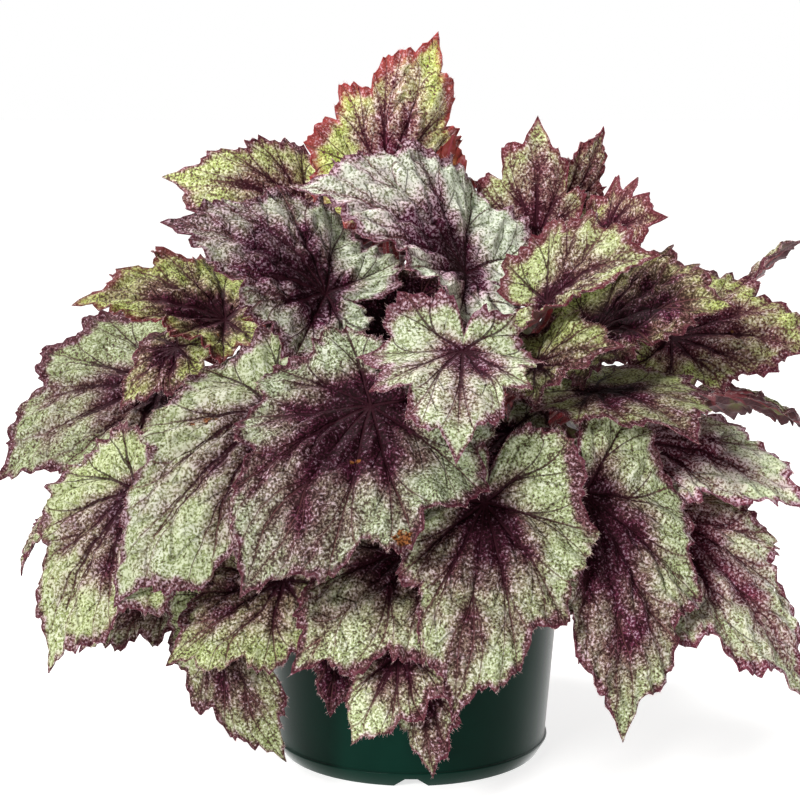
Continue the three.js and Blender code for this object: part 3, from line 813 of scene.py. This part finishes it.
def tooth_line(row, steps, length):
    """Fine uneven teeth along the margin, as shares of the blade's length."""
    seed = np.random.default_rng(row["number"] + TOOTH_SEED)
    saw = np.array([-0.55, 0.1, 1.0, 0.35])
    share = np.linspace(0, 1, steps + 1)
    strength = 0.3 + 1.1 * seed.random((SECTORS, steps // len(saw) + 2)) ** 1.5
    line = np.zeros((SECTORS, steps + 1))
    for index in range(SECTORS):
        step = np.arange(steps + 1)
        toward = step if index >= SECTORS // 2 else steps - step
        line[index] = saw[(toward + 2) % len(saw)] * np.repeat(strength[index], len(saw))[:steps + 1]
        swing = share * seed.uniform(0.8, 1.6) + seed.random()
        if 0 < index < SECTORS - 1:
            line[index] += 1.1 * np.sin(math.pi * share) * np.sin(2 * math.pi * swing)
    line[:, [0, -1]] = 0.9
    line[0, 0] = line[-1, -1] = 0
    return line * min(TOOTH, TOOTH_TO_LENGTH * length) / length


def blade_height(row, x, y, ring, u, angle):
    """The arch, the folds, the waves and the pleats, as shares of the blade's length."""
    arch = 4 * row["arch"] * np.maximum(x, 0) * (1 - x)
    base = row["base"] * np.minimum(x, 0) ** 2
    side = np.where(y > 0, row["left"], row["right"])
    turn = side * y * y / (FOLD_SOFTNESS + np.abs(y))
    calm = 1 - (angle / math.pi) ** 4
    wave = row["wave"] * calm * ring ** 3 * np.sin(WAVES * angle + row["phase"])
    pleat = PLEAT * ring * (1 - 0.35 * ring) * np.sin(math.pi * u) ** 1.5 * smooth(ring, -0.15, 0.5)
    return arch + base + turn + wave + pleat


def pucker(row, x, y, away, branch, ring, u, length):
    """The grooves over the veins and the quilted swellings between them, in millimetres."""
    size = min(1, length / FULL_RELIEF_LENGTH)
    scale = size * row["relief"]
    out = smooth(ring, 0.04, 0.42)
    seed = row["phase"]
    groove = -GROOVE * scale * out * np.exp(-(away / 1.3) ** 2)
    uneven = 1 + 0.7 * np.sin(x * 0.11 + 5 * seed) * np.sin(y * 0.13 + 3 * seed)
    swell = 0.5 - 0.5 * np.cos(2 * math.pi * branch)
    quilt = QUILT * scale * out * uneven * swell * np.sin(math.pi * u) ** 0.8 * (1 - 0.6 * ring ** 4)
    crumple = np.sin(x * 0.83 + 3 * seed) * np.sin(y * 0.71 - seed)
    crumple += 0.6 * np.sin(x * 1.37 - y * 1.21)
    crumple += 1.2 * np.sin(x * 0.41 - 2 * seed) * np.sin(y * 0.37 + 4 * seed)
    hem = ring ** 6 * np.sin(math.pi * u) ** 0.5
    ruffle = np.sin(7 * u * math.pi + 2.3 * seed) + 0.7 * np.sin(x * 0.6 - y * 0.45 + seed)
    dimple = -DIMPLE * size * np.exp(-(ring / 0.07) ** 2)
    return groove + quilt + scale * (CRUMPLE * out * crumple + RUFFLE * hem * ruffle) + dimple


def margin_hairs(row, top, low, normal):
    """Hairs along the margin, as (points, triangles)."""
    seed = np.random.default_rng(row["number"])
    columns = top.shape[1]
    count = columns * HAIRS_PER_COLUMN
    chosen = seed.integers(0, columns, count)
    slide = seed.random((count, 1))
    middle = (top[-1] + low[-1]) / 2
    roots = lerp(middle[chosen], middle[(chosen + 1) % columns], slide)
    ways = unit(top[-1, chosen] - top[-4, chosen])
    ways = ways + 0.5 * normal[-1, chosen] * seed.normal(0, 1, (count, 1))
    ways = ways + 0.45 * seed.normal(0, 1, (count, 3))
    return spikes(roots, ways, seed.uniform(0.7, 2.2, count), HAIR_RADIUS)


def build_leaf(row, materials):
    origin, along, across, up, length = blade_axes(row)
    pairs = round(length * HALF_SECTOR / COLUMN_WIDTH)
    steps = 2 * int(np.clip(pairs, LEAST_COLUMNS / 2, MOST_COLUMNS / 2))
    x, y, height, *values = blade_grid(row, steps, length)
    vein, reach = values[0], values[4]
    columns = SECTORS * steps

    def flat(grid):
        """One value for each point: a sector's last column is the next one's first."""
        return grid[:, :, :-1].reshape(BLADE_RINGS, columns, *grid.shape[3:])

    top = flat(origin + x[..., None] * along + y[..., None] * across + height[..., None] * up)
    around = np.roll(top, -1, 1) - np.roll(top, 1, 1)
    inward = np.concatenate([origin + 0 * top[:1], top[:-1]])
    outward = np.concatenate([top[1:], top[-1:]]) - inward
    normal = unit(np.cross(outward, around))
    normal *= np.sign(normal @ up)[..., None]
    rib = RIB_HEIGHT * np.exp(-(flat(vein) / RIB_WIDTH) ** 2) * (1 - 0.8 * flat(reach))
    low = top - normal * (BLADE + rib)[..., None]
    centre = origin - DIMPLE * min(1, length / FULL_DIMPLE_LENGTH) * up
    under = centre - HUB_THICKNESS * up
    points, (quads, ends) = closed(np.concatenate([top, low[::-1]]), centre, under)
    hair_points, hair_faces = margin_hairs(row, top, low, normal)
    hair_faces = hair_faces + len(points)
    points = np.concatenate([points, hair_points])

    # The upper face and the margin's rim have the first look, and the underside the second.
    half = BLADE_RINGS * columns
    name = "begonia_" + row["name"]
    faces = [quads[:half], quads[half:], ends[:columns], ends[columns:], hair_faces]
    mesh = new_mesh(name, points, faces, [0, 1, 0, 1, 2], materials)

    # Values on corners, because the side veins differ on the two sides of a main vein.
    def corner_values(grid):
        grid = np.concatenate([grid, grid[::-1]])
        left = grid[:, :, :-1].reshape(-1, columns)
        right = grid[:, :, 1:].reshape(-1, columns)
        block = np.stack([left[:-1], left[1:], right[1:], right[:-1]], -1)
        end = np.stack([np.zeros(columns), left[0], right[0]], -1)
        blocks = [block, end, end[:, [0, 2, 1]], 0 * hair_faces]
        return np.concatenate([part.ravel() for part in blocks])

    for label, grid in zip(("vein", "fork", "twig", "edge", "reach", "core"), values):
        layer = mesh.attributes.new(label, "FLOAT", "CORNER")
        layer.data.foreach_set("value", corner_values(grid).astype(np.float32))
    for label, keys in (("habit", ("wine", "silver", "lime")), ("age_and_light", ("shade", "rim", "blush"))):
        layer = mesh.attributes.new(label, "FLOAT_VECTOR", "POINT")
        tones = np.tile([row[key] for key in keys], (len(points), 1))
        layer.data.foreach_set("vector", tones.astype(np.float32).ravel())
    place(name, mesh, row["name"], "blade")


# ---------------- stalks and rhizome

def spline(points, share):
    """A point of the centripetal spline through the points, at a share of its spans."""
    points = np.array(points, float)
    spans = len(points) - 1
    at = min(int(share * spans), spans - 1)
    weight = share * spans - at
    before = points[at - 1] if at > 0 else 2 * points[0] - points[1]
    after = points[at + 2] if at + 2 <= spans else 2 * points[-1] - points[-2]
    four = [before, points[at], points[at + 1], after]
    gaps = [np.linalg.norm(four[i + 1] - four[i]) ** 0.5 for i in range(3)]
    first = (four[1] - four[0]) / gaps[0] - (four[2] - four[0]) / (gaps[0] + gaps[1])
    first = (first + (four[2] - four[1]) / gaps[1]) * gaps[1]
    last = (four[2] - four[1]) / gaps[1] - (four[3] - four[1]) / (gaps[1] + gaps[2])
    last = (last + (four[3] - four[2]) / gaps[2]) * gaps[1]
    return (
        four[1] + first * weight
        + (3 * (four[2] - four[1]) - 2 * first - last) * weight ** 2
        + (2 * (four[1] - four[2]) + first + last) * weight ** 3
    )


def stalk_route(row):
    """A curve from the rhizome up through the mound, to the underside of the blade."""
    origin, along, across, up, length = blade_axes(row)
    x, y, z = row["junction"]
    spread = float(np.clip(x * ROOT_SPREAD, -ROOT_REACH, ROOT_REACH))
    root = spline(RHIZOME_ROUTE, 0.5 + spread / RHIZOME_LENGTH)
    rise = max(z - root[2], LEAST_RISE)
    climb = root + np.array([x * CLIMB_LEAN, y * CLIMB_LEAN, rise * CLIMB_SHARE])
    end = origin - up * STALK_SEAT
    if z < RIM_LEVEL:
        bend = end + along * ((OVER_RIM - z) / min(along[2], STEEPEST))
    else:
        bend = end - along * row["bend"][0] * length - up * row["bend"][1] * length
    t = np.linspace(0, 1, STALK_STEPS + 1)[:, None]
    low = (1 - t) ** 3 * root + 3 * (1 - t) ** 2 * t * climb
    return low + 3 * (1 - t) * t ** 2 * bend + t ** 3 * end


def sweep(route, radii, sides, knobs=None):
    """A closed tube along a route, as (points, [quads, triangles], ring normals)."""
    tangent = unit(np.gradient(route, axis=0))
    side = unit(np.cross(tangent[0], [0.3, 0.2, 0.93]))
    angles = np.arange(sides)[:, None] * 2 * math.pi / sides
    rings, normals = [], []
    for i, (centre, way) in enumerate(zip(route, tangent)):
        side = unit(side - way * (side @ way))
        ring = side * np.cos(angles) + np.cross(way, side) * np.sin(angles)
        rings.append(centre + ring * radii[i] * (1 if knobs is None else knobs[i][:, None]))
        normals.append(ring)
    points, faces = closed(np.array(rings), route[0], route[-1], reverse=True)
    return points, faces, np.array(normals)


def rhizome():
    """A tube with the scars of old leaves round it, and a blunt tip at each end."""
    share = np.linspace(-0.09, 1.09, RHIZOME_RINGS)
    centre = np.array([spline(RHIZOME_ROUTE, float(np.clip(s, 0, 1))) for s in share])
    first = unit(centre[8] - centre[20])
    final = unit(centre[-9] - centre[-21])
    for i, s in enumerate(share):
        centre[i] += first * max(-s, 0) * RHIZOME_TIP + final * max(s - 1, 0) * RHIZOME_TIP
    taper = np.sqrt(np.clip(1 - (np.abs(share - 0.5) / 0.6) ** 8, 0.02, 1))
    angles = np.arange(RHIZOME_SIDES) * 2 * math.pi / RHIZOME_SIDES
    knobs = [
        1 + 0.05 * np.sin(3 * angles + 21 * s) + 0.05 * abs(math.sin(26 * s))
        + 0.03 * np.sin(7 * angles + 55 * s)
        for s in share
    ]
    return sweep(centre, RHIZOME_RADIUS * taper, RHIZOME_SIDES, knobs)


def stalk(row):
    """A leaf's stalk as a tube, and its hairs as (roots, ways, lengths)."""
    route = stalk_route(row)
    part = np.linspace(0, 1, STALK_STEPS + 1)
    radii = STALK_RADIUS * (1.22 - 0.3 * part + 0.55 * np.exp(-part / 0.05))
    radii[-2:] = [STALK_RADIUS * 1.2, STALK_RADIUS * 0.6]
    tube = sweep(route, radii, STALK_SIDES)
    seed = np.random.default_rng(row["number"] + STALK_SEED)
    station = seed.integers(4, STALK_STEPS - 1, STALK_HAIRS)
    ways = tube[2][station, seed.integers(0, STALK_SIDES, STALK_HAIRS)]
    slide = seed.random((STALK_HAIRS, 1))
    roots = lerp(route[station], route[station + 1], slide) + ways * radii[station][:, None] * 0.85
    ways = ways + 0.35 * seed.normal(0, 1, (STALK_HAIRS, 3))
    return tube, (roots, ways, seed.uniform(1.0, 2.8, STALK_HAIRS))


def build_stems(materials):
    stalks = [stalk(row) for row in leaves]
    tubes = [rhizome(), *(tube for tube, hairs in stalks)]
    hairs = [np.concatenate(part) for part in zip(*(hairs for tube, hairs in stalks))]
    hair_points, hair_faces = spikes(*hairs, STALK_HAIR_RADIUS)
    starts = np.cumsum([0] + [len(tube[0]) for tube in tubes])
    points = np.concatenate([*(tube[0] for tube in tubes), hair_points])
    faces = [
        np.concatenate([tube[1][kind] + start for tube, start in zip(tubes, starts)])
        for kind in (0, 1)
    ]
    faces.append(hair_faces + starts[-1])
    mesh = new_mesh("begonia_stems", points, faces, [0, 0, 1], materials)
    place("begonia_stems", mesh, "stems", "stalk")


# ---------------- potting mix

def soil_level(x, y):
    radius = np.hypot(x, y)
    crown = SOIL_CROWN * np.sin(math.pi / 2 * np.clip(1 - radius / SOIL_RADIUS, 0, 1))
    lump = SOIL_LUMP * np.sin(x * 0.31 + 1) * np.cos(y * 0.27 - 2)
    return SOIL_HEIGHT + crown + lump * smooth(SOIL_RADIUS - radius, 0, 12)


def soil_plug(spine):
    """The body of the mix, with crumbs on top and the rhizome's bed, as closed gives it."""
    floor = FLOOR_HEIGHT + POT_WALL + 0.3
    share = np.linspace(0, 1, SOIL_RINGS + 1)[1:, None]
    angle = np.arange(SOIL_SIDES) * 2 * math.pi / SOIL_SIDES
    x = SOIL_RADIUS * share * np.cos(angle)
    y = SOIL_RADIUS * share * np.sin(angle)
    crumbs = rng.random(x.shape) * 1.3 + 0.7 * np.sin(x * 1.9) * np.sin(y * 2.1)
    z = soil_level(x, y) + crumbs * smooth(1 - share, 0, 0.05)
    gap = np.hypot(x[..., None] - spine[:, 0], y[..., None] - spine[:, 1])
    distance = gap.min(-1)
    bed = RHIZOME_RADIUS * 0.9
    sunk = spine[gap.argmin(-1), 2] - np.sqrt(np.clip(bed ** 2 - distance ** 2, 0, None))
    z = np.where(distance < bed, np.minimum(z, sunk), z)
    top = np.stack([x, y, z], -1)
    wall = [
        (SOIL_RADIUS, SOIL_HEIGHT - 0.5),
        (BAND_RADIUS - POT_WALL - 0.9, BAND_HEIGHT + POT_WALL + 0.3),
        (FOOT_RADIUS - POT_WALL - 1.5, floor),
    ]
    grid = np.concatenate([top, turned(wall, SOIL_SIDES)])
    return closed(grid, top[0].mean(0), (0, 0, floor))


def build_soil(materials):
    spine = np.array([spline(RHIZOME_ROUTE, s) for s in np.linspace(0, 1, 60)])
    points, blocks = soil_plug(spine)
    looks = [0, 0]
    clouds = [points]
    total = len(points)

    # Bark chips and grains of perlite, half pressed into the top: blocks of 3 by 2 by 2 points.
    corners = np.array([[a, b, c] for a in (-1, 0, 1) for b in (-1, 1) for c in (-1, 1)], float)
    sheets = np.array([
        [0, 1, 3, 2], [8, 10, 11, 9],
        [0, 4, 5, 1], [4, 8, 9, 5], [2, 3, 7, 6], [6, 7, 11, 10],
        [1, 5, 7, 3], [5, 9, 11, 7], [0, 2, 6, 4], [4, 6, 10, 8],
    ])
    for number in range(CHIP_COUNT):
        white = number % 4 == 0
        radius = SOIL_RADIUS * 0.95 * math.sqrt(rng.random())
        bearing = rng.random() * 2 * math.pi
        spot = np.array([radius * math.cos(bearing), radius * math.sin(bearing)])
        near = np.hypot(spine[:, 0] - spot[0], spine[:, 1] - spot[1]).min()
        size = rng.uniform(0.8, 1.7, 3) if white else rng.uniform((2, 1.2, 0.6), (6, 3, 1.4))
        turnings = rng.uniform(-0.5, 0.5, 3) + [0, 0, rng.random() * 6]
        chip = corners * size * (1 + rng.uniform(-0.3, 0.3, corners.shape))
        if near < RHIZOME_RADIUS + 4:
            continue
        chip = chip @ np.array(Euler(turnings).to_matrix())
        clouds.append(chip + [*spot, float(soil_level(*spot)) + 1.0])
        blocks.append(sheets + total)
        looks.append(2 if white else 1)
        total += len(chip)
    mesh = new_mesh("potting_mix", np.concatenate(clouds), blocks, looks, materials)
    place("potting_mix", mesh, "soil", "soil")


# ---------------- pot

def arc(centre, radius, start, end, steps=5):
    """Points of a rounded corner, as (radius from the axis, height)."""
    angles = np.radians(np.linspace(start, end, steps))
    return [(centre[0] + radius * math.cos(a), centre[1] + radius * math.sin(a)) for a in angles]


def pot_profile():
    """The wall's section from the middle of the underside, round the rim, to the floor."""
    floor = FLOOR_HEIGHT + POT_WALL
    return [
        (PAD_RADIUS, 0), (PAD_RADIUS + PAD_SLOPE, FLOOR_HEIGHT),
        (FOOT_RADIUS - FOOT_RING - 0.5, FLOOR_HEIGHT), (FOOT_RADIUS - FOOT_RING, 0.3),
        (FOOT_RADIUS - FOOT_RING + 0.3, 0), (FOOT_RADIUS - 0.5, 0),
        *arc((FOOT_RADIUS - 0.5, 0.6), 0.6, -90, -30, 4),
        *arc((BAND_RADIUS - 0.5, BAND_HEIGHT - 0.5), 0.5, -20, 90, 6),
        (BAND_RADIUS - 0.9, BAND_HEIGHT + 0.15), (BAND_RADIUS - 0.9, BAND_HEIGHT + 0.9),
        (WALL_TOP_RADIUS - 0.35, POT_HEIGHT - RIM_BAND - 5),
        (WALL_TOP_RADIUS, POT_HEIGHT - RIM_BAND - 1),
        *arc((RIM_RADIUS - 1.3, POT_HEIGHT - RIM_BAND + 0.1), 0.6, -90, 0, 5),
        *arc((RIM_RADIUS - 1.2, POT_HEIGHT - 1.2), 1.2, 0, 160, 9),
        (RIM_RADIUS - RIM_WALL, POT_HEIGHT - 3),
        (WALL_TOP_RADIUS - POT_WALL, POT_HEIGHT - RIM_BAND),
        (BAND_RADIUS - POT_WALL - 0.6, BAND_HEIGHT + POT_WALL),
        (FOOT_RADIUS - POT_WALL - 1, floor + 0.4), (FOOT_RADIUS - POT_WALL - 2, floor),
        (PAD_RADIUS + PAD_SLOPE + 1, floor), (PAD_RADIUS + 1, POT_WALL),
    ]


def prism(outlines):
    """A cutter between two outlines, as (points, faces)."""
    count = len(outlines[0])
    faces = [tuple(range(count))[::-1], tuple(range(count, 2 * count))]
    faces += [(i, (i + 1) % count, (i + 1) % count + count, i + count) for i in range(count)]
    return [*outlines[0], *outlines[1]], faces


def pot_cutters():
    """The notches in the foot and the drain holes, as prisms."""
    cutters = []
    wide, narrow = NOTCH_WIDTH / 2 + NOTCH_SLOPE, NOTCH_WIDTH / 2 - NOTCH_SLOPE
    notch = [(-wide, -1), (wide, -1), (narrow, NOTCH_HEIGHT), (-narrow, NOTCH_HEIGHT)]
    for i in range(NOTCH_COUNT):
        c, s = round(math.cos(i * math.pi / 2)), round(math.sin(i * math.pi / 2))
        cutters.append(prism([
            [(a * c + r * s, a * s - r * c, h) for a, h in notch]
            for r in (FOOT_RADIUS - CUT_REACH, FOOT_RADIUS + CUT_REACH)
        ]))
    angles = np.linspace(0, 2 * math.pi, DRAIN_SIDES + 1)[:-1]
    hole = [(DRAIN_RADIUS * math.cos(a), DRAIN_RADIUS * math.sin(a)) for a in angles]
    for i in range(DRAIN_COUNT):
        a = (i + 0.5) / DRAIN_COUNT * 2 * math.pi
        x, y = DRAIN_CIRCLE * math.cos(a), DRAIN_CIRCLE * math.sin(a)
        cutters.append(prism([[(x + dx, y + dy, h) for dx, dy in hole] for h in DRAIN_CUT]))
    return cutters


def build_pot(materials):
    wall = turned(pot_profile(), POT_SIDES)
    points, faces = closed(wall, (0, 0, 0), (0, 0, POT_WALL), reverse=True)
    pot = place("nursery_pot", new_mesh("nursery_pot", points, faces, [0, 0], materials), "pot", "pot")

    for i, (cut_points, cut_faces) in enumerate(pot_cutters()):
        tool_mesh = bpy.data.meshes.new(f"cutter_{i}")
        tool_mesh.from_pydata([Vector(p) * MM for p in cut_points], [], cut_faces)
        tool = new_object(f"cutter_{i}", tool_mesh)
        cut = pot.modifiers.new(f"cut_{i}", "BOOLEAN")
        cut.object = tool
        cut.operation = "DIFFERENCE"
        cut.solver = "EXACT"
        bpy.context.view_layer.update()
        finished = pot.evaluated_get(bpy.context.evaluated_depsgraph_get())
        done = bpy.data.meshes.new_from_object(finished)
        pot.modifiers.remove(cut)
        pot.data = done
        bpy.data.objects.remove(tool)
    pot.data.set_sharp_from_angle(angle=math.radians(POT_SHARP_FROM))


# ---------------- build

hair = hair_look()
blade_materials = [blade_top(), blade_under(), hair]
for row in leaves:
    build_leaf(row, blade_materials)
build_stems([stalk_look(), hair])
build_soil([soil_look(), chip_look(), perlite_look()])
build_pot([pot_look()])

# ---------------- floor, light and camera

floor_mesh = bpy.data.meshes.new("floor")
square = [(x * FLOOR_REACH, y * FLOOR_REACH, 0) for x, y in ((-1, -1), (1, -1), (1, 1), (-1, 1))]
floor_mesh.from_pydata(square, [], [(0, 1, 2, 3)])
floor = new_object("floor", floor_mesh)
paper = Look("paper", roughness=0.9, specular=0.1)
paper.colour("#bcbcba")
paper.shader.inputs["Emission Color"].default_value = (1, 1, 1, 1)
paper.shader.inputs["Emission Strength"].default_value = 0.72
floor_mesh.materials.append(paper.material)


def lamp(name, kind, power, position, target, **settings):
    light = bpy.data.lights.new(name, kind)
    light.energy = power
    for key, value in settings.items():
        setattr(light, key, value)
    lit = new_object(name, light)
    lit.location = position
    lit.rotation_euler = (Vector(target) - Vector(position)).to_track_quat("-Z", "Y").to_euler()


softbox = {"kind": "AREA", "shape": "RECTANGLE"}
lamp("rim", power=7, position=(0.9, 0.75, 0.25), target=(0, 0, 0.08), size=0.25, size_y=0.4, **softbox)
lamp("top", power=20, position=(-0.5, 0.35, 1.3), target=(0, 0, 0.2), size=0.8, size_y=0.6, **softbox)
lamp("key", "SUN", 3.4, (0, 0, 0), (0.5, 0.8, -0.5), angle=math.radians(14))

# The room is white behind the plant and all round the horizon, and dim over it and in front.
world = bpy.data.worlds.new("studio")
room = Graph(world)
_, depth, height = room.parts(room.node("TexCoord", {}).outputs["Generated"])
wall = room.step(depth, -0.4, 0.35, 0.12, 1.0)
ceiling = room.step(height, 0.15, 0.6, 1.0, 0.35)
horizon = room.step(room.math("ABSOLUTE", height), 0.03, 0.25, 1.0, 0.0)
sky = room.tree.nodes["Background"]
room.join(sky.inputs["Strength"], room.most(room.times(wall, ceiling), horizon))
sky.inputs["Color"].default_value = (1, 1, 1, 1)
bpy.context.scene.world = world
bpy.context.scene.view_settings.view_transform = "Standard"

camera_data = bpy.data.cameras.new("camera")
camera_data.lens = LENS
camera_data.sensor_width = 36
camera = new_object("camera", camera_data)
camera.location = CAMERA_PLACE
camera.rotation_euler = (math.radians(CAMERA_TILT), 0, 0)
bpy.context.scene.camera = camera

bpy.context.view_layer.update()
